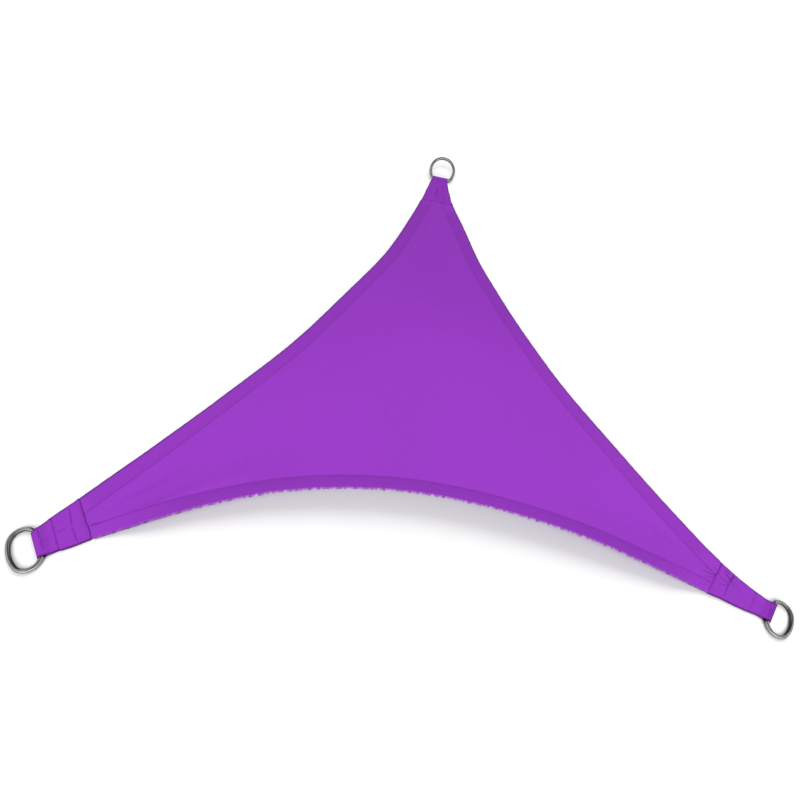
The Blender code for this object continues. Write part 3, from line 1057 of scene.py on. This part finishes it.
def makeFloor():
    bm = bmesh.new()
    bmesh.ops.create_grid(bm, x_segments=1, y_segments=1, size=studio["floorSize"] / 2)
    bmesh.ops.translate(bm, verts=bm.verts[:], vec=(0, 0, -0.0003))
    mesh = bpy.data.meshes.new("floor")
    bm.to_mesh(mesh)
    bm.free()
    material, _, shader = newMaterial("pale floor")
    shader.inputs["Base Color"].default_value = (*colours["floor"], 1.0)
    shader.inputs["Roughness"].default_value = 0.9
    shader.inputs["Specular IOR Level"].default_value = 0.1
    mesh.materials.append(material)
    floor = bpy.data.objects.new("floor", mesh)
    bpy.context.scene.collection.objects.link(floor)


def makeSky():  # plain white to the camera, and a dim studio to all else
    world = bpy.data.worlds.new("studio")
    world.use_nodes = True
    tree = world.node_tree
    background = tree.nodes["Background"]
    place = tree.nodes.new("ShaderNodeTexCoord").outputs["Generated"]
    split = tree.nodes.new("ShaderNodeSeparateXYZ")
    tree.links.new(place, split.inputs[0])
    back = rangeNode(tree, split.outputs[2], 0.20, 0.58, (studio["horizon"], studio["skyBack"]))
    front = rangeNode(tree, split.outputs[2], 0.02, 0.16, (studio["horizon"], studio["skyFront"]))
    front = mathNode(tree, "MULTIPLY", front, rangeNode(tree, split.outputs[1], -0.10, 0.45, (1.0, 0.0)))
    back = mathNode(tree, "MULTIPLY", back, rangeNode(tree, split.outputs[1], -0.10, 0.45))
    level = mathNode(tree, "ADD", front, back)
    sideways = mathNode(tree, "ABSOLUTE", split.outputs[0])
    sides = rangeNode(tree, sideways, 0.34, 0.50, (0.0, studio["sideWalls"]))
    ahead = rangeNode(tree, split.outputs[1], -0.60, -0.46, (studio["frontWall"], 0.0))
    walls = mathNode(tree, "MAXIMUM", sides, ahead)  # for glossy rays only
    ray = tree.nodes.new("ShaderNodeLightPath")
    level = mathNode(tree, "ADD", level, mathNode(tree, "MULTIPLY", walls, ray.outputs["Is Glossy Ray"]))
    seen = ray.outputs["Is Camera Ray"]
    rest = mathNode(tree, "MULTIPLY", mathNode(tree, "SUBTRACT", 1.0, seen), level)
    tree.links.new(mathNode(tree, "ADD", seen, rest), background.inputs["Color"])
    bpy.context.scene.world = world


def makeLamps():
    for name, (place, power, softness) in studio["lamps"].items():
        light = bpy.data.lights.new(name, "SUN")
        light.energy = power
        light.angle = math.radians(softness)
        lamp = bpy.data.objects.new(name, light)
        lamp.visible_glossy = False  # the steel mirrors plain walls instead
        turn, above = (math.radians(value) for value in place)
        level = math.cos(above)
        towards = Vector((math.sin(turn) * level, math.cos(turn) * level, math.sin(above)))
        lamp.rotation_mode = "QUATERNION"
        lamp.rotation_quaternion = towards.to_track_quat("Z", "Y")
        bpy.context.scene.collection.objects.link(lamp)


def makeCamera():
    data = bpy.data.cameras.new("camera")
    data.lens = view["lens"]
    data.sensor_width = 36.0
    camera = bpy.data.objects.new("camera", data)
    place = Vector(view["place"])
    ahead = (Vector(view["looksAt"]) - place).normalized()
    level = ahead.to_track_quat("-Z", "Y").to_matrix()
    turned = Matrix.Rotation(math.radians(view["roll"]), 3, ahead) @ level
    camera.matrix_world = Matrix.Translation(place) @ turned.to_4x4()
    bpy.context.scene.collection.objects.link(camera)
    bpy.context.scene.camera = camera


weaveGroup = plainWeave()
toneGroup = softTone()
sailFinish = clothMaterial("sail cloth", colours["cloth"], sailMarks, 0.35)
strapFinish = clothMaterial("strap cloth", colours["strap"], strapMarks, 1.0)
threadFinish = threadMaterial()
steelFinish = steelMaterial()

cloth = makeCloth(sailFinish)
straps = [makeStrap(name, strapFinish) for name in corners]
print("straps made")
for name in corners:
    makeRing(name, steelFinish)
print("rings made")
sewing = [makeHemStitches(threadFinish), makeStrapStitches(threadFinish)]
print("sewing made")

makeFloor()
makeSky()
makeLamps()
makeCamera()
print("studio made")
bpy.context.scene.view_settings.view_transform = "Standard"
